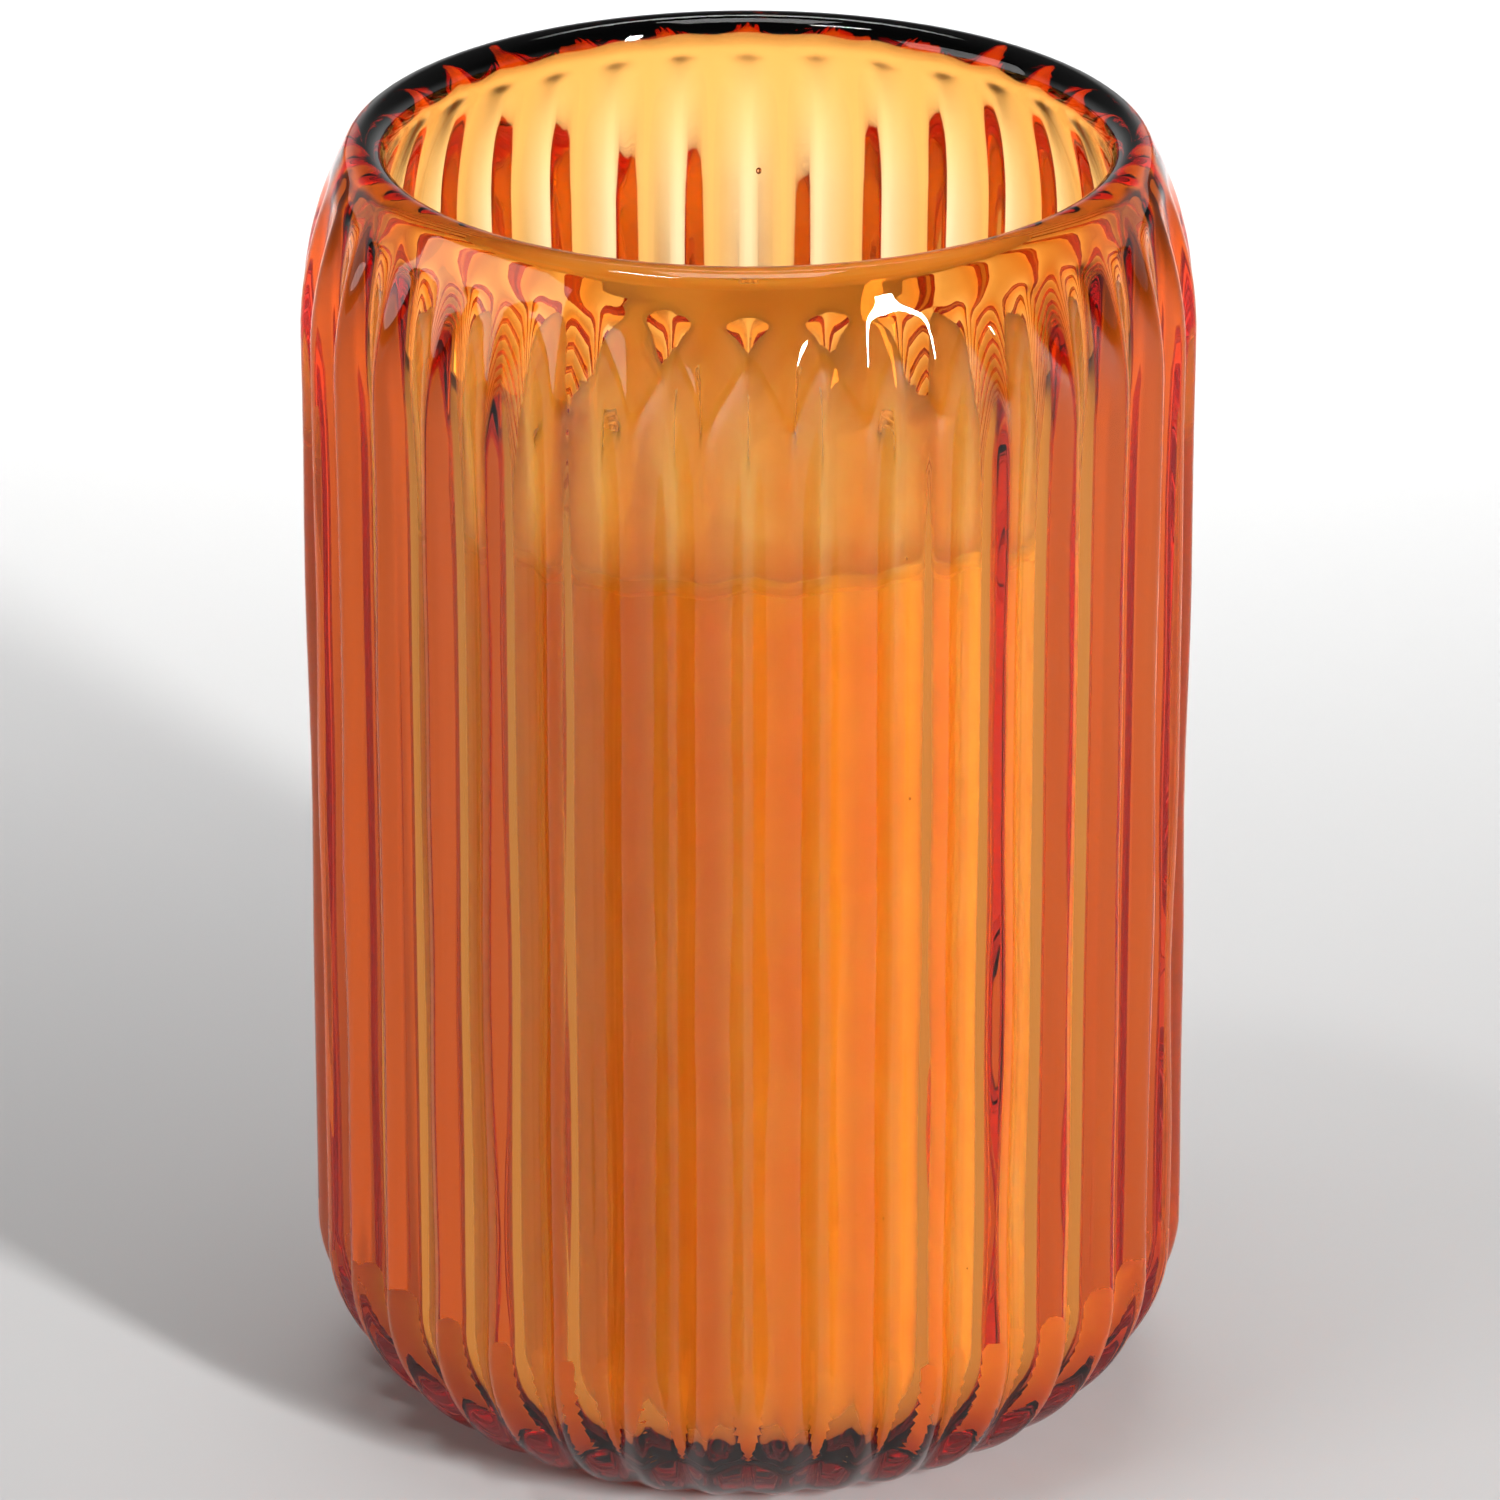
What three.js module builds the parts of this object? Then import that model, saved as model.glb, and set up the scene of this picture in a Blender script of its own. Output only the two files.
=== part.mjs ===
// Filled candle glass: a fluted amber glass vessel with a rounded heel, a drawn-in shoulder and a plain
// fire-polished lip, holding a poured wax candle with one wick.
// Millimetres, +Z up, origin at the centre of the resting face, a valley between two flutes facing -Y.
//
// Pieces, from the outside in:
//   glass_vessel      one continuous piece of glass, coloured through
//   wax_fill          poured wax, bored for the wick and recessed over the sustainer
//   wick              cotton wick, from the sustainer to above the wax
//   wick_sustainer    tinplate disc with a crimped neck that holds the wick upright
//   sustainer_sticker adhesive pad that fixes the sustainer to the glass floor

import * as THREE from "three";

// Vessel
const HEIGHT = 151;
const BODY_RADIUS = 50;
const WALL = 5;
const FLOOR_THICKNESS = 7.5;
const INNER_HEEL_RADIUS = 12.3;

// Flutes: round-topped ribs with steep flanks and narrow round valleys between them
const RIB_COUNT = 36;
const RIB_DEPTH = 3.2;
const RIB_CREST_SHARE = 0.28;
const RIB_VALLEY_SHARE = 0.16;
const RIB_START_SHARE = 0.06;
const RIB_START_LENGTH = 3;
const RIB_GROWTH_LENGTH = 25;
const FOOT_RIB_DEPTH = 0.65;

// Heel and foot
const FOOT_RADIUS = 32;
const HEEL_TOP = 21;
const HEEL_FOOT_PULL = 7.9;
const HEEL_WALL_PULL = 10.3;
const PUNT_RADIUS = 23.5;
const PUNT_DEPTH = 1.3;

// Shoulder: an arc that turns the wall inwards by this angle, ending in a half-round lip
const SHOULDER_RADIUS = 44.8;
const SHOULDER_TURN = THREE.MathUtils.degToRad(28);
const LIP_HEIGHT = 3.2;

// Candle
const WAX_TOP = 117;
const WAX_EDGE = 0.6;
const WICK_RADIUS = 1.3;
const WICK_ABOVE_WAX = 7;
const SUSTAINER_RADIUS = 15;
const SUSTAINER_THICKNESS = 0.4;
const NECK_HEIGHT = 7;
const NECK_WALL = 0.4;
const STICKER_RADIUS = 9.5;
const STICKER_THICKNESS = 0.8;

// Clearance between pieces that touch
const GAP = 0.3;

// Facets. The stations are shares of one rib, from valley to valley, three of them on the valley and three
// on the crest so that both are round.
const RIB_STATIONS = [0, 0.1, 0.35, 0.5, 0.65, 0.9];
const INNER_STEPS = RIB_COUNT * 2;
const TAB_STEPS = 36;
const WICK_STEPS = 12;
const HEEL_ROWS = 8;
const SHOULDER_ROWS = 9;
const INNER_SHOULDER_ROWS = 5;
const BEAD_ROWS = 8;
const CORNER_ROWS = 6;
const PUNT_ROWS = 3;

// Values that follow from the dimensions above
const INNER_RADIUS = BODY_RADIUS - WALL;
const BEAD_RADIUS = WALL / 2;
const ARC_AXIS_RADIUS = BODY_RADIUS - SHOULDER_RADIUS;
const MIDDLE_ARC_RADIUS = SHOULDER_RADIUS - BEAD_RADIUS;
const BEAD_AXIS_RADIUS = ARC_AXIS_RADIUS + MIDDLE_ARC_RADIUS * Math.cos(SHOULDER_TURN);
const BEAD_AXIS_Z = HEIGHT - BEAD_RADIUS;
const SHOULDER_Z = BEAD_AXIS_Z - MIDDLE_ARC_RADIUS * Math.sin(SHOULDER_TURN);
const STICKER_BOTTOM = FLOOR_THICKNESS + GAP;
const STICKER_TOP = STICKER_BOTTOM + STICKER_THICKNESS;
const SUSTAINER_BOTTOM = STICKER_TOP + GAP;
const SUSTAINER_TOP = SUSTAINER_BOTTOM + SUSTAINER_THICKNESS;
const NECK_TOP = SUSTAINER_TOP + NECK_HEIGHT;
const NECK_BORE = WICK_RADIUS + GAP;
const NECK_RADIUS = NECK_BORE + NECK_WALL;
const WAX_RADIUS = INNER_RADIUS - GAP;
const WAX_BOTTOM = FLOOR_THICKNESS + GAP;

const quarterTurn = Math.PI / 2;
const { clamp, lerp, smoothstep } = THREE.MathUtils;

const heel = new THREE.CubicBezierCurve(
  new THREE.Vector2(FOOT_RADIUS, 0),
  new THREE.Vector2(FOOT_RADIUS + HEEL_FOOT_PULL, 0),
  new THREE.Vector2(BODY_RADIUS, HEEL_TOP - HEEL_WALL_PULL),
  new THREE.Vector2(BODY_RADIUS, HEEL_TOP),
);

// Numbers spaced evenly from one to another, both ends included
const spaced = (from, to, rows) => Array.from({ length: rows + 1 }, (_, i) => lerp(from, to, i / rows));

// Share of the full rib depth, from 0 on the crest to 1 in the valley, at a turn of 0 to 1 across one rib.
// A round crest and a round valley are joined by a straight flank that is tangent to both.
function ribSection(turn) {
  const side = Math.abs(turn - Math.round(turn)) * 2;
  const valleyStart = 1 - RIB_VALLEY_SHARE;
  const flankRise = 2 / (2 * valleyStart - RIB_CREST_SHARE + RIB_VALLEY_SHARE);
  if (side < RIB_CREST_SHARE) {
    return (flankRise * side * side) / (2 * RIB_CREST_SHARE);
  }
  if (side > valleyStart) {
    return 1 - (flankRise * (1 - side) ** 2) / (2 * RIB_VALLEY_SHARE);
  }
  return flankRise * (side - RIB_CREST_SHARE / 2);
}

// Depth of the flutes at a height. Under the plain lip they begin with a faint dent, deepen down the
// shoulder to all of their depth on the body, and fade out again under the heel.
function ribDepth(z) {
  const underLip = HEIGHT - LIP_HEIGHT - z;
  const begin = smoothstep(underLip, 0, RIB_START_LENGTH);
  const grow = clamp((underLip - RIB_START_LENGTH / 2) / RIB_GROWTH_LENGTH, 0, 1);
  const top = RIB_START_SHARE * begin + (1 - RIB_START_SHARE) * (1 - (1 - grow) ** 1.6);
  const foot = lerp(FOOT_RIB_DEPTH / RIB_DEPTH, 1, Math.sin(clamp(z / HEEL_TOP, 0, 1) * quarterTurn));
  return RIB_DEPTH * top * foot;
}

// A point at a share of a whole turn around Z, starting from -Y
function pointAt(share, radius, z) {
  const angle = share * Math.PI * 2 - quarterTurn;
  return new THREE.Vector3(radius * Math.cos(angle), radius * Math.sin(angle), z);
}

// A closed round ring of points
const ring = (radius, z, steps) => Array.from({ length: steps }, (_, i) => pointAt(i / steps, radius, z));

// A closed ring of points that dips between the ribs
function flutedRing(radius, z) {
  const ribs = Array.from({ length: RIB_COUNT }, (_, rib) => rib);
  return ribs.flatMap((rib) => RIB_STATIONS.map((station) => (
    pointAt((rib + station) / RIB_COUNT, radius - ribDepth(z) * ribSection(station + 0.5), z)
  )));
}

// Joins two rings of points with triangles. One ring may have a whole number of times the other's points.
function bridge(lower, upper, triangles) {
  const steps = Math.max(lower.length, upper.length);
  const at = (points, i) => points[Math.floor((i * points.length) / steps) % points.length];
  for (let i = 0; i < steps; i += 1) {
    const a = at(lower, i);
    const b = at(lower, i + 1);
    const c = at(upper, i + 1);
    const d = at(upper, i);
    if (a !== b) {
      triangles.push(a, b, c);
    }
    if (c !== d) {
      triangles.push(a, c, d);
    }
  }
}

// A closed body from rings in order up its outside. A ring-shaped body comes back down its bore and the
// last ring joins the first; a solid body is closed with a point on the axis at each end.
function turnedBody(name, rings, hasBore, color, roughness, metalness = 0) {
  const triangles = [];
  for (let i = 1; i < rings.length; i += 1) {
    bridge(rings[i - 1], rings[i], triangles);
  }
  const first = rings[0];
  const last = rings[rings.length - 1];
  if (hasBore) {
    bridge(last, first, triangles);
  } else {
    bridge([new THREE.Vector3(0, 0, first[0].z)], first, triangles);
    bridge(last, [new THREE.Vector3(0, 0, last[0].z)], triangles);
  }
  const geometry = new THREE.BufferGeometry().setFromPoints(triangles);
  geometry.computeVertexNormals();
  const mesh = new THREE.Mesh(geometry, new THREE.MeshStandardMaterial({ color, roughness, metalness }));
  mesh.name = name;
  return mesh;
}

// Radius and height of the point at a turn round an arc of the profile
function arcPoint(axisRadius, axisZ, radius, turn) {
  return [axisRadius + radius * Math.cos(turn), axisZ + radius * Math.sin(turn)];
}

// Rings of the rounded corner between a floor and a wall, inset from the glass, going outwards and up
function innerCorner(inset) {
  return spaced(0, quarterTurn, CORNER_ROWS).map((swing) => {
    const radius = INNER_RADIUS - INNER_HEEL_RADIUS + (INNER_HEEL_RADIUS - inset) * Math.sin(swing);
    const z = FLOOR_THICKNESS + INNER_HEEL_RADIUS - (INNER_HEEL_RADIUS - inset) * Math.cos(swing);
    return ring(radius, z, INNER_STEPS);
  });
}

function glassVessel() {
  const punt = spaced(quarterTurn / PUNT_ROWS, quarterTurn, PUNT_ROWS - 1).map((swing) => (
    ring(PUNT_RADIUS * Math.sin(swing), PUNT_DEPTH * Math.cos(swing), INNER_STEPS)
  ));
  const heelSide = heel.getPoints(HEEL_ROWS).map((point) => flutedRing(point.x, point.y));
  const shoulder = spaced(0, SHOULDER_TURN, SHOULDER_ROWS).map((turn) => {
    const [radius, z] = arcPoint(ARC_AXIS_RADIUS, SHOULDER_Z, SHOULDER_RADIUS, turn);
    return flutedRing(radius, z);
  });
  const lip = spaced(SHOULDER_TURN, SHOULDER_TURN + Math.PI, BEAD_ROWS).slice(1).map((turn) => (
    ring(...arcPoint(BEAD_AXIS_RADIUS, BEAD_AXIS_Z, BEAD_RADIUS, turn), INNER_STEPS)
  ));
  const innerShoulder = spaced(SHOULDER_TURN, 0, INNER_SHOULDER_ROWS).slice(1).map((turn) => (
    ring(...arcPoint(ARC_AXIS_RADIUS, SHOULDER_Z, SHOULDER_RADIUS - WALL, turn), INNER_STEPS)
  ));
  const inside = innerCorner(0).reverse();
  const rings = [...punt, ...heelSide, ...shoulder, ...lip, ...innerShoulder, ...inside];
  return turnedBody("glass_vessel", rings, false, 0xd9741f, 0.04);
}

function waxFill() {
  const round = (radius, z) => ring(radius, z, INNER_STEPS);
  const rings = [
    round(SUSTAINER_RADIUS + GAP, WAX_BOTTOM),
    ...innerCorner(GAP),
    round(WAX_RADIUS, WAX_TOP - WAX_EDGE),
    round(WAX_RADIUS - WAX_EDGE, WAX_TOP),
    round(WICK_RADIUS + GAP, WAX_TOP),
    round(WICK_RADIUS + GAP, NECK_TOP + GAP),
    round(NECK_RADIUS + GAP, NECK_TOP + GAP),
    round(NECK_RADIUS + GAP, SUSTAINER_TOP + GAP),
    round(SUSTAINER_RADIUS + GAP, SUSTAINER_TOP + GAP),
  ];
  return turnedBody("wax_fill", rings, true, 0xf0e2c4, 0.55);
}

function wick() {
  const rings = [SUSTAINER_BOTTOM, WAX_TOP + WICK_ABOVE_WAX].map((z) => ring(WICK_RADIUS, z, WICK_STEPS));
  return turnedBody("wick", rings, false, 0xeee6d4, 0.9);
}

function wickSustainer() {
  const rings = [
    ring(NECK_BORE, SUSTAINER_BOTTOM, TAB_STEPS),
    ring(SUSTAINER_RADIUS, SUSTAINER_BOTTOM, TAB_STEPS),
    ring(SUSTAINER_RADIUS, SUSTAINER_TOP, TAB_STEPS),
    ring(NECK_RADIUS, SUSTAINER_TOP, TAB_STEPS),
    ring(NECK_RADIUS, NECK_TOP, TAB_STEPS),
    ring(NECK_BORE, NECK_TOP, TAB_STEPS),
  ];
  return turnedBody("wick_sustainer", rings, true, 0xb9bcc0, 0.35, 1);
}

function sustainerSticker() {
  const rings = [STICKER_BOTTOM, STICKER_TOP].map((z) => ring(STICKER_RADIUS, z, TAB_STEPS));
  return turnedBody("sustainer_sticker", rings, false, 0xf4f3ee, 0.8);
}

const candleGlass = new THREE.Group();
candleGlass.add(glassVessel(), waxFill(), wick(), wickSustainer(), sustainerSticker());

export default candleGlass;
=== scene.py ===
import math

import bmesh
import bpy
import numpy as np
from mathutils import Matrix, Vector


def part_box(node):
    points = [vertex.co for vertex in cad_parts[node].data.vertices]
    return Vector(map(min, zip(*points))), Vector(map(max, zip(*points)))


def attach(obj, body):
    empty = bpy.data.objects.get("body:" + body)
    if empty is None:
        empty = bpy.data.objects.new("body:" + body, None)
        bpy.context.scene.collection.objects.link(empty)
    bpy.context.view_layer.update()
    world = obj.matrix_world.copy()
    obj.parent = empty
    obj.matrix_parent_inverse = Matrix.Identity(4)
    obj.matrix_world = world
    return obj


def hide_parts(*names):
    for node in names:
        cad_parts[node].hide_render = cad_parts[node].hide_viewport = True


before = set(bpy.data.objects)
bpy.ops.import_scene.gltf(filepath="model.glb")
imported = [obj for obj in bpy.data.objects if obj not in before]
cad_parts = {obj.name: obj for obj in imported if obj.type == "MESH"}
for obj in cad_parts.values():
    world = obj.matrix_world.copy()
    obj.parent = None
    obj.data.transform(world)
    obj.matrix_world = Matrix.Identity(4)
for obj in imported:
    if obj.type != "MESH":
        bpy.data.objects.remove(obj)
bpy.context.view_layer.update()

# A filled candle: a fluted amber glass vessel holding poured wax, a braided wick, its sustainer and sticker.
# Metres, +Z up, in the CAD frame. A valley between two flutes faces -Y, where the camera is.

rng = np.random.default_rng(36)
MM = 0.001

# Driving dimensions, from the frame
glass_low, glass_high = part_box("glass_vessel")
wax_low, wax_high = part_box("wax_fill")
wick_low, wick_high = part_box("wick")
disc_low, disc_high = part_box("wick_sustainer")
pad_low, pad_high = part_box("sustainer_sticker")

RIBS = 36
HALF_RIB = math.pi / RIBS
HEIGHT = glass_high.z
BODY_R = glass_high.x / math.cos(HALF_RIB)

# Everything else about the vessel, mostly as shares of the body radius. INNER_SHARE is how far the inside
# follows the ribs.
WALL = 0.1 * BODY_R
FLOOR = 0.15 * BODY_R
INNER_HEEL = 0.246 * BODY_R
RIB_DEPTH = 0.064 * BODY_R
INNER_SHARE = 0.12
CREST = 0.28
VALLEY = 0.16
LIP_HEIGHT = 0.064 * BODY_R
RIB_START = 0.06
RIB_START_LENGTH = 0.06 * BODY_R
RIB_GROWTH_LENGTH = 0.5 * BODY_R
FOOT_R = 0.64 * BODY_R
FOOT_DEPTH_SHARE = 0.2
HEEL_TOP = 0.42 * BODY_R
HEEL_FOOT_PULL = 0.158 * BODY_R
HEEL_WALL_PULL = 0.206 * BODY_R
PUNT_R = 0.47 * BODY_R
PUNT_DEPTH = 0.026 * BODY_R
SHOULDER_R = 0.896 * BODY_R
SHOULDER_TURN = math.radians(28)

BEAD = WALL / 2
ARC_AXIS_R = BODY_R - SHOULDER_R
BEAD_AXIS_R = ARC_AXIS_R + (SHOULDER_R - BEAD) * math.cos(SHOULDER_TURN)
BEAD_AXIS_Z = HEIGHT - BEAD
SHOULDER_Z = BEAD_AXIS_Z - (SHOULDER_R - BEAD) * math.sin(SHOULDER_TURN)
INNER_R = BODY_R - WALL

# Unevenness of the outside: calm near the lip, where it was fire-polished, and wavier down the body
POLISHED_FROM = 0.89 * HEIGHT
POLISH_FADE = 0.025
POLISHED_SWELL = 0.06 * MM
ADDED_SWELL = 0.14 * MM
# It fades out above the foot and below the lip
WAVES_FROM = 0.006
WAVES_BELOW_LIP = 0.003
WAVES_FADE = 0.02

# Differences from one rib to the next
RIB_DEPTH_SPREAD = 0.05
RIB_SHIFT_SPREAD = 0.35 * MM
RIB_LEAN_SPREAD = 0.025

STEPS_PER_RIB = 16
STEPS = RIBS * STEPS_PER_RIB


# ---------------------------------------------------------------- mesh helpers

def grid_mesh(name, rings, closed_ends=True):
    """A mesh from equal rings of points. Its ends are closed with a point at the middle of each."""
    rings = np.asarray(rings)
    count, steps = rings.shape[:2]
    verts = rings.reshape(-1, 3).tolist()
    faces = []
    for row in range(count - 1):
        a, b = row * steps, (row + 1) * steps
        for i in range(steps):
            j = (i + 1) % steps
            faces.append((a + i, a + j, b + j, b + i))
    if closed_ends:
        verts += [rings[0].mean(0).tolist(), rings[-1].mean(0).tolist()]
        first, last = count * steps, count * steps + 1
        top = (count - 1) * steps
        for i in range(steps):
            j = (i + 1) % steps
            faces.append((first, j, i))
            faces.append((last, top + i, top + j))
    mesh = bpy.data.meshes.new(name)
    mesh.from_pydata(verts, [], faces)
    mesh.validate()
    mesh.update()
    mesh.shade_smooth()
    piece = bpy.data.objects.new(name, mesh)
    bpy.context.collection.objects.link(piece)
    return piece


def waves(angle, z, size, terms, seed, around_most=9, shortest=0.03):
    """Slow, smooth unevenness over the wall, in metres, the same every run and without a seam."""
    r = np.random.default_rng(seed)
    total = np.zeros(np.broadcast(angle, z).shape)
    for _ in range(terms):
        around = int(r.integers(1, around_most))
        length = r.uniform(shortest, 0.11)
        swing, push = r.uniform(0, 2 * math.pi, 2)
        total += np.sin(around * angle + swing) * np.sin(2 * math.pi * z / length + push)
    return size * total / math.sqrt(terms)


# ---------------------------------------------------------------- glass vessel

def rib_section(side):
    """Share of the rib depth: 0 on the crest to 1 in the valley, at 0 to 1 from one to the other."""
    edge = 1 - VALLEY
    rise = 1 / (edge - CREST + (CREST + VALLEY) / 2)
    return np.where(
        side < CREST, rise * side ** 2 / (2 * CREST),
        np.where(side > edge, 1 - rise * (1 - side) ** 2 / (2 * VALLEY), rise * (side - CREST / 2)),
    )


def rib_depth(z, fade_shift):
    # under the plain lip the ribs begin with a faint dent, then deepen down the shoulder to the whole of it
    under_lip = HEIGHT - LIP_HEIGHT + fade_shift - z
    begin = np.clip(under_lip / RIB_START_LENGTH, 0, 1)
    grow = np.clip((under_lip - RIB_START_LENGTH / 2) / RIB_GROWTH_LENGTH, 0, 1)
    top = RIB_START * begin * begin * (3 - 2 * begin) + (1 - RIB_START) * (1 - (1 - grow) ** 1.6)
    foot = FOOT_DEPTH_SHARE + (1 - FOOT_DEPTH_SHARE) * np.sin(np.clip(z / HEEL_TOP, 0, 1) * math.pi / 2)
    return RIB_DEPTH * top * foot


def ribs_at(angle, z):
    """Depth of the ribs, in metres, at an angle from a valley and a height."""
    within = np.abs(((angle + math.pi / 2) / (2 * HALF_RIB)) % 1 - 0.5) * 2
    return rib_depth(z, 0.0) * rib_section(within)


def vessel_profile():
    """Rows of radius, height and side: up the outside from the punt, over the lip and down the inside.

    The side is 1 on the fluted outside, -1 on the inside and 0 where the glass is plain.
    """
    rows = []
    for t in np.linspace(0.06, 1, 8) * math.pi / 2:
        rows.append((PUNT_R * math.sin(t), PUNT_DEPTH * math.cos(t), 0))
    for r in np.linspace(PUNT_R, FOOT_R, 5)[1:-1]:
        rows.append((r, 0, 0))
    for t in np.linspace(0, 1, 34):
        weights = (1 - t) ** 3, 3 * (1 - t) ** 2 * t, 3 * (1 - t) * t ** 2, t ** 3
        radii = FOOT_R, FOOT_R + HEEL_FOOT_PULL, BODY_R, BODY_R
        heights = 0, 0, HEEL_TOP - HEEL_WALL_PULL, HEEL_TOP
        rows.append((np.dot(weights, radii), np.dot(weights, heights), 1))
    for z in np.linspace(HEEL_TOP, SHOULDER_Z, 16)[1:]:
        rows.append((BODY_R, z, 1))
    for t in SHOULDER_TURN * np.linspace(0, 1, 40)[1:] ** 0.8:
        rows.append((ARC_AXIS_R + SHOULDER_R * math.cos(t), SHOULDER_Z + SHOULDER_R * math.sin(t), 1))
    for t in np.linspace(SHOULDER_TURN, SHOULDER_TURN + math.pi, 20)[1:]:
        rows.append((BEAD_AXIS_R + BEAD * math.cos(t), BEAD_AXIS_Z + BEAD * math.sin(t), 0))
    inner_arc = SHOULDER_R - WALL
    for t in np.linspace(SHOULDER_TURN, 0, 14)[1:]:
        rows.append((ARC_AXIS_R + inner_arc * math.cos(t), SHOULDER_Z + inner_arc * math.sin(t), -1))
    for z in np.linspace(SHOULDER_Z, FLOOR + INNER_HEEL, 16)[1:]:
        rows.append((INNER_R, z, -1))
    for t in np.linspace(0, math.pi / 2, 14)[1:]:
        corner = INNER_R - INNER_HEEL + INNER_HEEL * math.cos(t)
        rows.append((corner, FLOOR + INNER_HEEL - INNER_HEEL * math.sin(t), -1))
    for share in (0.6, 0.35, 0.12, 0.03):
        rows.append(((INNER_R - INNER_HEEL) * share, FLOOR, -1))
    return np.array(rows)


def glass_rings():
    rows = vessel_profile()
    radius, z, side = (rows[:, i][:, None] for i in range(3))
    share = np.arange(STEPS) / STEPS
    rib = np.floor(share * RIBS).astype(int)

    # Each rib is a little wider or deeper than its neighbours and fades out a little higher or lower
    depth_by_rib = 1 + rng.normal(0, RIB_DEPTH_SPREAD, RIBS)
    shift_by_rib = rng.normal(0, RIB_SHIFT_SPREAD, RIBS)
    lean_by_rib = rng.normal(0, RIB_LEAN_SPREAD, RIBS)
    within = share * RIBS - rib

    def eased(values):
        """Smooth from one rib's value to the next across the valley between them."""
        here, after = values[rib], values[(rib + 1) % RIBS]
        before = values[(rib - 1) % RIBS]
        blend = np.abs(within - 0.5)
        near = np.where(within < 0.5, before, after)
        return here * (1 - blend) + near * blend

    lean = lean_by_rib[rib] * np.sin(within * math.pi) ** 2
    flank = np.abs(within + lean - 0.5) * 2
    section = rib_section(np.clip(flank, 0, 1))
    angle = share * 2 * math.pi - math.pi / 2
    depth = rib_depth(z, eased(shift_by_rib)[None, :]) * eased(depth_by_rib)[None, :]
    above_foot = np.clip((z - WAVES_FROM) / WAVES_FADE, 0, 1)
    wall = above_foot * np.clip((HEIGHT - WAVES_BELOW_LIP - z) / WAVES_FADE, 0, 1)
    swell = POLISHED_SWELL + ADDED_SWELL * np.clip((POLISHED_FROM - z) / POLISH_FADE, 0, 1)
    unevenness = waves(angle, z, 1.0, 16, 4, 26, 0.018) - 1
    outer = radius - depth * section[None, :] + wall * swell * np.minimum(unevenness, 0)
    ripple = np.maximum(waves(angle, z, 0.05 * MM, 7, 9), -0.02 * MM)
    inner = radius - INNER_SHARE * depth * section[None, :] + wall * ripple
    plain = radius + 0 * section[None, :]
    r = np.where(side > 0, outer, np.where(side < 0, inner, plain))
    return np.stack([r * np.cos(angle), r * np.sin(angle), z + 0 * r], -1)


glass = grid_mesh("glass_vessel_fluted", glass_rings())


SEED_DEPTH = 0.28 * WALL
SEED_STRETCH = 1.25
SEEDS = 13


def add_seeds(piece, places):
    """Small bubbles of air inside the wall, a little taller than wide, their faces turned into the bubble."""
    bm = bmesh.new()
    bm.from_mesh(piece.data)
    for azimuth, z, size in places:
        a = math.radians(azimuth)
        r = INNER_R + SEED_DEPTH
        made = bmesh.ops.create_icosphere(bm, subdivisions=2, radius=size)["verts"]
        for v in made:
            v.co.z *= SEED_STRETCH
            v.co += Vector((r * math.sin(a), -r * math.cos(a), z))
        made = set(made)
        bmesh.ops.reverse_faces(bm, faces=[f for f in bm.faces if f.verts[0] in made])
    for f in bm.faces:
        f.smooth = True
    bm.to_mesh(piece.data)
    bm.free()


seeds = [(178.6, 0.1305, 0.34 * MM)]
for _ in range(SEEDS):
    seeds.append((rng.uniform(-180, 180), rng.uniform(0.03, 0.135), rng.uniform(0.07, 0.14) * MM))
add_seeds(glass, seeds)


# ---------------------------------------------------------------- wax

AIR_GAP = 0.09 * MM
BORE_R = wick_high.x + 0.05 * MM
NECK_ROOM = 0.12 * MM
# Where the edge of the pour is lowest, seen from above, how far it spreads, and the dip in millimetres
LOW_SIDE = math.radians(55)
LOW_SIDE_SPREAD = 0.3
LOW_SIDE_DIP = 0.9


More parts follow.
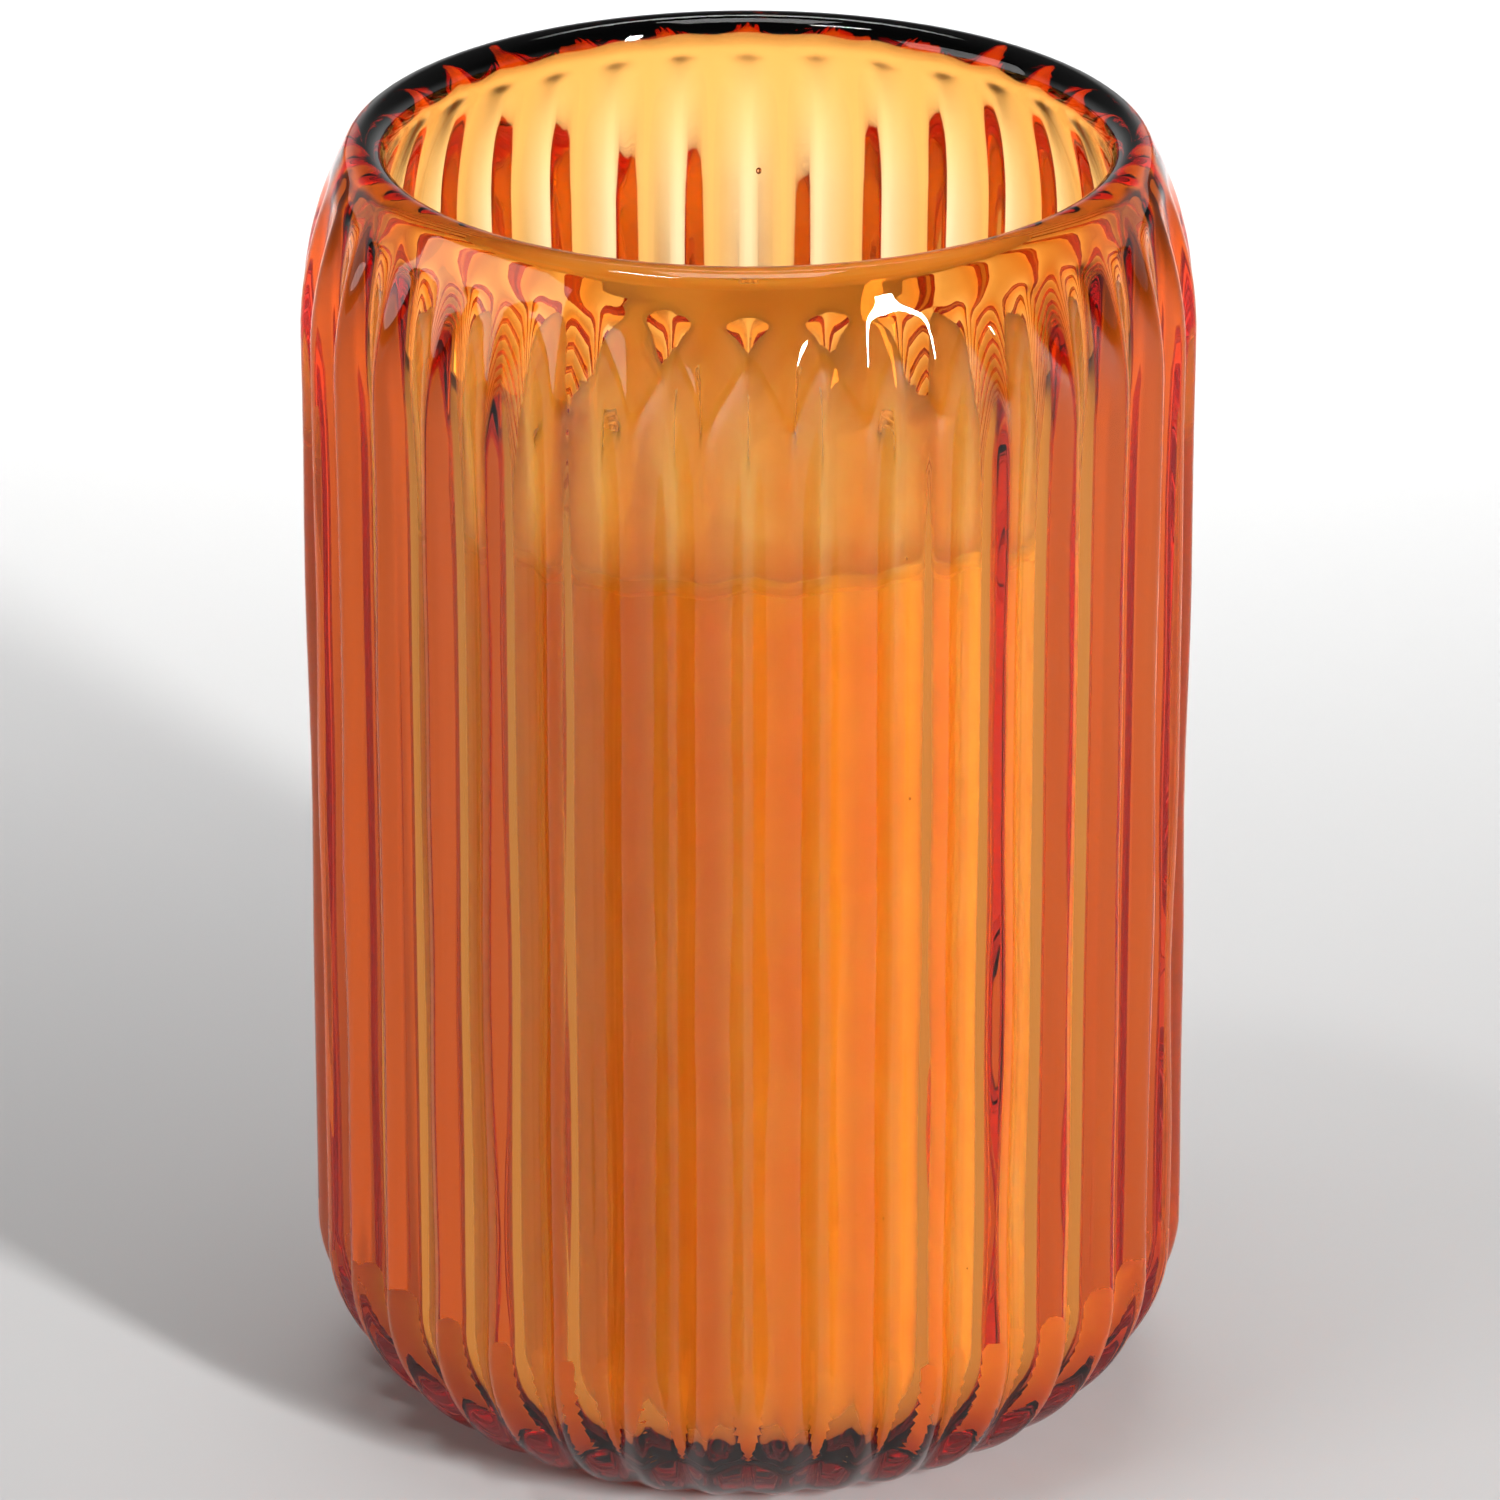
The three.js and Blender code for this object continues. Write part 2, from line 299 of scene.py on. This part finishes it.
def wax_rings():
    """Rings up the outside of the wax, over its top to the bore, and down the bore over the sustainer.

    Each row has a radius, a height and a kind: 1 for the side, 2 for the edge, 3 for the top, 0 for the rest.
    """
    steps = 288
    angle = np.arange(steps) / steps * 2 * math.pi - math.pi / 2
    top = wax_high.z
    neck_r, disc_r = 2.15 * MM, disc_high.x + NECK_ROOM
    rows = [(disc_r, wax_low.z, 0)]
    for t in np.linspace(0.0, math.pi / 2, 12):
        reach = INNER_HEEL - AIR_GAP
        rows.append((INNER_R - INNER_HEEL + reach * math.sin(t), FLOOR + INNER_HEEL - reach * math.cos(t), 0))
    outer_r = INNER_R - AIR_GAP
    for z in np.linspace(FLOOR + INNER_HEEL, top - 4.4 * MM, 60)[1:]:
        rows.append((outer_r, z, 1))
    # a groove where the wax shrank from the glass, then the meniscus, which dips to a flat top
    groove = ((-1.9, 0.0), (-1.7, 0.45), (-1.0, 0.45), (-0.8, 0.02))
    meniscus = ((-0.35, 0.04), (-0.1, 0.12), (0.0, 0.45), (-0.35, 1.1), (-0.8, 2.4), (-1.1, 5.0))
    for climb, inset in groove + meniscus:
        rows.append((outer_r - inset * MM, top + climb * MM, 2))
    for r in (34, 26, 18, 11, 6, 3.5):
        rows.append((r * MM, top - (1.2 + 0.25 * (1 - r / 40)) * MM, 3))
    rows.append((2.1 * MM, top - 1.1 * MM, 3))
    rows.append((BORE_R, top - 0.8 * MM, 0))
    rows.append((BORE_R, disc_high.z + 0.3 * MM, 0))
    rows.append((neck_r + 0.25 * MM, disc_high.z + 0.3 * MM, 0))
    rows.append((neck_r + 0.25 * MM, disc_low.z + 0.7 * MM, 0))
    rows.append((disc_r, disc_low.z + 0.7 * MM, 0))
    rows = np.array(rows)
    radius, z, kind = (rows[:, i][:, None] for i in range(3))
    r = radius + 0 * angle[None, :]
    height = z + 0 * r
    # the edge of the pour wanders up and down the glass, and lies lower on one side
    edge = 0.35 * np.sin(5 * angle + 1.1) + 0.25 * np.sin(11 * angle + 0.4) + 0.18 * np.sin(23 * angle)
    low_side = LOW_SIDE_DIP * np.exp(-((angle + math.pi / 2 - LOW_SIDE) / LOW_SIDE_SPREAD) ** 2)
    height = np.where(kind == 2, height + (np.minimum(0, edge - 0.5) - low_side) * MM, height)
    # the side takes the shape of the glass it was poured into
    ripple = INNER_SHARE * ribs_at(angle, z)
    r = np.where((kind == 1) | (kind == 2), r - ripple, r)
    height = np.where(kind == 3, height + waves(angle, radius, 0.05 * MM, 5, 33), height)
    return np.stack([r * np.cos(angle), r * np.sin(angle), height], -1)


def ring_mesh(name, rings):
    """A ring-shaped body: like grid_mesh, with the last ring joined to the first."""
    rings = np.asarray(rings)
    return grid_mesh(name, np.concatenate([rings, rings[:1]]), closed_ends=False)


def welded(piece):
    bm = bmesh.new()
    bm.from_mesh(piece.data)
    bmesh.ops.remove_doubles(bm, verts=bm.verts, dist=1e-7)
    bmesh.ops.recalc_face_normals(bm, faces=bm.faces)
    bm.to_mesh(piece.data)
    bm.free()
    return piece


wax = welded(ring_mesh("wax_pour", wax_rings()))
wax.data.set_sharp_from_angle(angle=math.radians(50))


# ---------------------------------------------------------------- wick, sustainer and sticker

def tube_along(path, radius, sides):
    """Rings of a round tube that follows a path of points."""
    path = np.asarray(path)
    ahead = np.gradient(path, axis=0)
    ahead /= np.linalg.norm(ahead, axis=1)[:, None]
    across = np.cross(ahead, [0.0, 0.31, 0.95])
    across /= np.linalg.norm(across, axis=1)[:, None]
    up = np.cross(ahead, across)
    turn = np.arange(sides) / sides * 2 * math.pi
    ring = np.cos(turn)[None, :, None] * across[:, None] + np.sin(turn)[None, :, None] * up[:, None]
    return path[:, None] + ring * radius


def braided_wick():
    """Flat-laid plait: strands wind round the core in both directions and pass over and under each other."""
    strands = 6
    strand_r = 0.36 * MM
    middle_r = wick_high.x - strand_r - 0.06 * MM
    pitch = 9 * MM
    length = wick_high.z - wick_low.z
    z = np.linspace(0, length, 620)
    parts = []
    for direction in (1, -1):
        for k in range(strands // 2):
            turn = direction * z / pitch * 2 * math.pi + k * 4 * math.pi / strands
            over = np.cos(z / pitch * 2 * math.pi * strands / 2 + (0 if direction > 0 else math.pi))
            r = middle_r + 0.07 * MM * over
            path = np.stack([r * np.cos(turn), r * np.sin(turn), wick_low.z + z], -1)
            path[:, 2] = np.clip(path[:, 2], wick_low.z + strand_r, wick_high.z - strand_r * 0.6)
            keep = np.r_[True, np.diff(path[:, 2]) > 1e-7]
            parts.append(grid_mesh("strand", tube_along(path[keep], strand_r, 7)))
    core = np.stack([0 * z, 0 * z, np.linspace(wick_low.z + 0.1 * MM, wick_high.z - 0.5 * MM, z.size)], -1)
    parts.append(grid_mesh("strand", tube_along(core[::10], 0.62 * MM, 12)))
    return joined("wick_braid", parts)


def joined(name, parts):
    with bpy.context.temp_override(active_object=parts[0], selected_editable_objects=parts):
        bpy.ops.object.join()
    parts[0].name = parts[0].data.name = name
    return parts[0]


def sustainer():
    """A stamped disc with a rolled edge, two stiffening rings, and a neck pinched flat on four sides."""
    steps = 96
    angle = np.arange(steps) / steps * 2 * math.pi
    low, top = disc_low.z, disc_low.z + 0.4 * MM
    rim, bore, neck = disc_high.x, 1.6 * MM, 2.0 * MM
    neck_top = disc_high.z
    rows = [(bore, low, 0), (rim - 0.15 * MM, low, 0), (rim, low + 0.12 * MM, 0), (rim, top - 0.1 * MM, 0)]
    rows += [(rim - 0.25 * MM, top, 0)]
    # two raised rings, then the turn up into the neck
    raised = ((12.6, 0), (12.0, 0.18), (11.4, 0), (8.0, 0), (7.4, 0.18), (6.8, 0))
    for r, lift in raised + ((3.2, 0), (2.5, 0.12)):
        rows.append((r * MM, top + lift * MM, 0))
    for z in np.linspace(top + 0.5 * MM, neck_top - 0.15 * MM, 9):
        rows.append((neck, z, 1))
    rows += [(neck - 0.1 * MM, neck_top, 1), (bore + 0.05 * MM, neck_top, 0)]
    rows += [(bore, neck_top - 0.2 * MM, 0)]
    rows = np.array(rows)
    radius, z, kind = (rows[:, i][:, None] for i in range(3))
    up_neck = np.clip((z - top) / (neck_top - top), 0, 1)
    pinch = 0.13 * MM * np.cos(4 * angle[None, :]) * np.sin(up_neck * math.pi)
    r = radius - np.where(kind == 1, np.abs(pinch), 0)
    points = np.stack([r * np.cos(angle), r * np.sin(angle), z + 0 * r], -1)
    return welded(ring_mesh("sustainer_tinplate", points))


def sticker():
    """A round foam pad, its cut edge slightly bulged."""
    steps = 96
    angle = np.arange(steps) / steps * 2 * math.pi
    r_max = pad_high.x
    rows = []
    for t in np.linspace(-1, 1, 9):
        bulge = 0.22 * MM * (1 - t * t)
        rows.append((r_max - 0.22 * MM + bulge, pad_low.z + (t + 1) / 2 * (pad_high.z - pad_low.z)))
    inner = [(r_max * share, pad_low.z) for share in (0.3, 0.7)]
    outer = [(r_max * share, pad_high.z) for share in (0.7, 0.3)]
    rows = inner + rows + outer
    points = [
        np.stack([r * np.cos(angle), r * np.sin(angle), np.full(steps, z)], -1) for r, z in rows
    ]
    return grid_mesh("sticker_foam", points)


wick = braided_wick()
disc = sustainer()
pad = sticker()


# ---------------------------------------------------------------- materials

class Nodes:
    """A short way to build a Principled material in node code."""

    def __init__(self, name):
        self.material = bpy.data.materials.new(name)
        self.material.use_nodes = True
        self.tree = self.material.node_tree
        self.shader = self.tree.nodes["Principled BSDF"]
        self.output = self.tree.nodes["Material Output"]
        self.place = self.add("ShaderNodeTexCoord").outputs["Object"]

    def add(self, kind, **inputs):
        node = self.tree.nodes.new(kind)
        for key, value in inputs.items():
            node.inputs[key.replace("_", " ")].default_value = value
        return node

    def link(self, a, b):
        self.tree.links.new(a, b)

    def noise(self, scale, detail=3.0, stretch=None):
        node = self.add("ShaderNodeTexNoise", Scale=scale, Detail=detail)
        source = self.place
        if stretch:
            mapping = self.add("ShaderNodeMapping")
            mapping.inputs["Scale"].default_value = stretch
            self.link(source, mapping.inputs["Vector"])
            source = mapping.outputs["Vector"]
        self.link(source, node.inputs["Vector"])
        return node.outputs["Fac"]

    def ramp(self, fac, stops):
        node = self.tree.nodes.new("ShaderNodeValToRGB")
        elements = node.color_ramp.elements
        while len(elements) < len(stops):
            elements.new(0.5)
        for element, (at, color) in zip(elements, stops):
            element.position = at
            element.color = (*color, 1)
        self.link(fac, node.inputs["Fac"])
        return node.outputs["Color"]

    def bump(self, height, distance, strength=1.0):
        node = self.add("ShaderNodeBump", Strength=strength, Distance=distance)
        self.link(height, node.inputs["Height"])
        self.link(node.outputs["Normal"], self.shader.inputs["Normal"])

    def rough(self, fac, low, high):
        node = self.add("ShaderNodeMapRange")
        node.inputs["To Min"].default_value = low
        node.inputs["To Max"].default_value = high
        self.link(fac, node.inputs["Value"])
        self.link(node.outputs["Result"], self.shader.inputs["Roughness"])


def constants(shader, **values):
    for key, value in values.items():
        shader.inputs[key.replace("_", " ")].default_value = value


# Amber glass: clear surface, coloured through. Absorption is per metre for red, green and blue.
ABSORPTION = np.array([6.0, 138.0, 400.0])
ABSORPTION_DENSITY = 410.0

amber = Nodes("amber_glass_fluted")
constants(amber.shader, Base_Color=(1, 1, 1, 1), Roughness=0.0, IOR=1.5, Transmission_Weight=1.0)
amber.bump(amber.noise(38.0, 1.0, (1, 1, 0.35)), 0.03 * MM)
volume = amber.add("ShaderNodeVolumeAbsorption", Density=ABSORPTION_DENSITY)
volume.inputs["Color"].default_value = (*(1 - ABSORPTION / ABSORPTION_DENSITY), 1)
amber.link(volume.outputs["Volume"], amber.output.inputs["Volume"])

soft_wax = Nodes("wax_poured")
constants(soft_wax.shader, Subsurface_Weight=1.0, Subsurface_Scale=0.012, Specular_IOR_Level=0.15)
soft_wax.shader.inputs["Subsurface Radius"].default_value = (1.0, 0.75, 0.5)
mottle = soft_wax.noise(55.0, 4.0)
wax_colors = [(0.3, (0.93, 0.62, 0.23)), (0.52, (0.95, 0.67, 0.28)), (0.72, (0.96, 0.71, 0.34))]
soft_wax.link(soft_wax.ramp(mottle, wax_colors), soft_wax.shader.inputs["Base Color"])
soft_wax.rough(soft_wax.noise(160.0), 0.48, 0.68)
soft_wax.bump(soft_wax.noise(420.0, 5.0), 0.03 * MM)

cotton = Nodes("cotton_braid")
constants(cotton.shader, Sheen_Weight=0.35, Specular_IOR_Level=0.2)
fibres = cotton.noise(2600.0, 4.0, (1, 1, 0.22))
cotton.link(
    cotton.ramp(fibres, [(0.3, (0.74, 0.69, 0.58)), (0.6, (0.92, 0.89, 0.82)), (0.8, (0.96, 0.95, 0.9))]),
    cotton.shader.inputs["Base Color"],
)
cotton.rough(fibres, 0.75, 0.95)
cotton.bump(fibres, 0.06 * MM)

tin = Nodes("tinplate_stamped")
constants(tin.shader, Metallic=1.0)
spangle = tin.noise(700.0, 3.0, (1, 0.15, 1))
tin.link(
    tin.ramp(spangle, [(0.3, (0.62, 0.62, 0.63)), (0.7, (0.78, 0.78, 0.79))]),
    tin.shader.inputs["Base Color"],
)
tin.rough(spangle, 0.24, 0.42)
tin.bump(spangle, 0.01 * MM)

foam = Nodes("foam_adhesive")
constants(foam.shader, Specular_IOR_Level=0.2)
cells = foam.add("ShaderNodeTexVoronoi", Scale=3200.0)
foam.link(foam.place, cells.inputs["Vector"])
foam.link(
    foam.ramp(cells.outputs["Distance"], [(0.0, (0.82, 0.81, 0.77)), (0.6, (0.95, 0.94, 0.91))]),
    foam.shader.inputs["Base Color"],
)
foam.rough(cells.outputs["Distance"], 0.7, 0.9)
foam.bump(cells.outputs["Distance"], 0.05 * MM)

PIECES = (
    (glass, amber, "glass_vessel", "amber_glass"),
    (wax, soft_wax, "wax_fill", "wax"),
    (wick, cotton, "wick", "cotton"),
    (disc, tin, "wick_sustainer", "tinplate"),
    (pad, foam, "sustainer_sticker", "foam_pad"),
)
for piece, nodes, cad_node, slot_name in PIECES:
    piece.data.materials.clear()
    piece.data.materials.append(nodes.material)
    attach(piece, "root")
    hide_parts(cad_node)


# ---------------------------------------------------------------- floor, light and camera

FLOOR_HALF = 3.0
FLOOR_DROP = 0.0001
floor_mesh = bpy.data.meshes.new("floor")
turns = ((-1, -1), (1, -1), (1, 1), (-1, 1))
corners = [(x * FLOOR_HALF, y * FLOOR_HALF) for x, y in turns]
floor_mesh.from_pydata([(x, y, -FLOOR_DROP) for x, y in corners], [], [(0, 1, 2, 3)])
floor = bpy.data.objects.new("floor", floor_mesh)
bpy.context.collection.objects.link(floor)
pale = Nodes("floor_pale")
constants(pale.shader, Base_Color=(0.52, 0.52, 0.52, 1), Roughness=0.9, Specular_IOR_Level=0.0)
floor_mesh.materials.append(pale.material)

# A dim room, twice as bright behind the vessel as in front of it, under a dark ceiling
BACKDROP_LIGHT = 0.6
ROOM_LIGHT = 0.3
CEILING_SHARE = 0.15
BAND_TOP = 0.08
CEILING = 0.42
world = bpy.data.worlds.new("studio")
bpy.context.scene.world = world
world.use_nodes = True
sky = world.node_tree
direction = sky.nodes.new("ShaderNodeTexCoord")
split = sky.nodes.new("ShaderNodeSeparateXYZ")
sky.links.new(direction.outputs["Generated"], split.inputs["Vector"])


def sky_level(axis, start, end, low, high):
    node = sky.nodes.new("ShaderNodeMapRange")
    node.interpolation_type = "SMOOTHSTEP"
    for socket, value in (("From Min", start), ("From Max", end), ("To Min", low), ("To Max", high)):
        node.inputs[socket].default_value = value
    sky.links.new(split.outputs[axis], node.inputs["Value"])
    return node.outputs["Result"]


BACKDROP_STARTS = -0.1
BACKDROP_FULL = 0.5
both = sky.nodes.new("ShaderNodeMath")
both.operation = "MULTIPLY"
backdrop = sky_level("Y", BACKDROP_STARTS, BACKDROP_FULL, ROOM_LIGHT, BACKDROP_LIGHT)
sky.links.new(backdrop, both.inputs[0])
sky.links.new(sky_level("Z", BAND_TOP, CEILING, 1.0, CEILING_SHARE), both.inputs[1])
sky.links.new(both.outputs["Value"], sky.nodes["Background"].inputs["Strength"])
sky.nodes["Background"].inputs["Color"].default_value = (1, 1, 1, 1)


# The lamps face a point high on the vessel
LAMP_AIM = Vector((0, 0, 0.8 * HEIGHT))
WASH_BEHIND = 0.6


def softbox(name, azimuth, elevation, distance, width, height, radiance, spread=180):
    light = bpy.data.lights.new(name, "AREA")
    light.shape = "RECTANGLE"
    light.size, light.size_y = width, height
    light.energy = radiance * math.pi * width * height
    light.spread = math.radians(spread)
    lamp = bpy.data.objects.new(name, light)
    bpy.context.collection.objects.link(lamp)
    a, e = math.radians(azimuth), math.radians(elevation)
    away = Vector((math.sin(a) * math.cos(e), -math.cos(a) * math.cos(e), math.sin(e)))
    lamp.location = LAMP_AIM + away * distance
    lamp.rotation_euler = away.to_track_quat("Z", "Y").to_euler()
    return lamp


softbox("key", 38, 19, 1.2, 0.09, 0.4, 195)
softbox("overhead", 0, 88, 1.2, 0.5, 0.5, 4)
softbox("left_fill", -75, 14, 1.3, 1.1, 0.7, 2.4)
softbox("top_left", -50, 66, 1.2, 0.28, 0.1, 26)
wash = softbox("floor_wash", 0, 90, 0.8, 0.6, 0.4, 5, spread=70)
wash.location.y = WASH_BEHIND

# The camera looks down at the vessel from 21 body radii away
ELEVATION = math.radians(23.16)
DISTANCE = 21 * BODY_R
AIM_Z = 1.542 * BODY_R
SENSOR = 36.0
BODY_SHARE = 0.2936
camera_data = bpy.data.cameras.new("camera")
camera = bpy.data.objects.new("camera", camera_data)
bpy.context.collection.objects.link(camera)
camera.location = (0, -DISTANCE * math.cos(ELEVATION), AIM_Z + DISTANCE * math.sin(ELEVATION))
camera.rotation_euler = (math.pi / 2 - ELEVATION, 0, 0)
camera_data.sensor_width = SENSOR
camera_data.lens = SENSOR * BODY_SHARE * DISTANCE / BODY_R
camera_data.shift_x = 0.001
camera_data.dof.use_dof = False
bpy.context.scene.camera = camera
bpy.context.scene.view_settings.view_transform = "Standard"
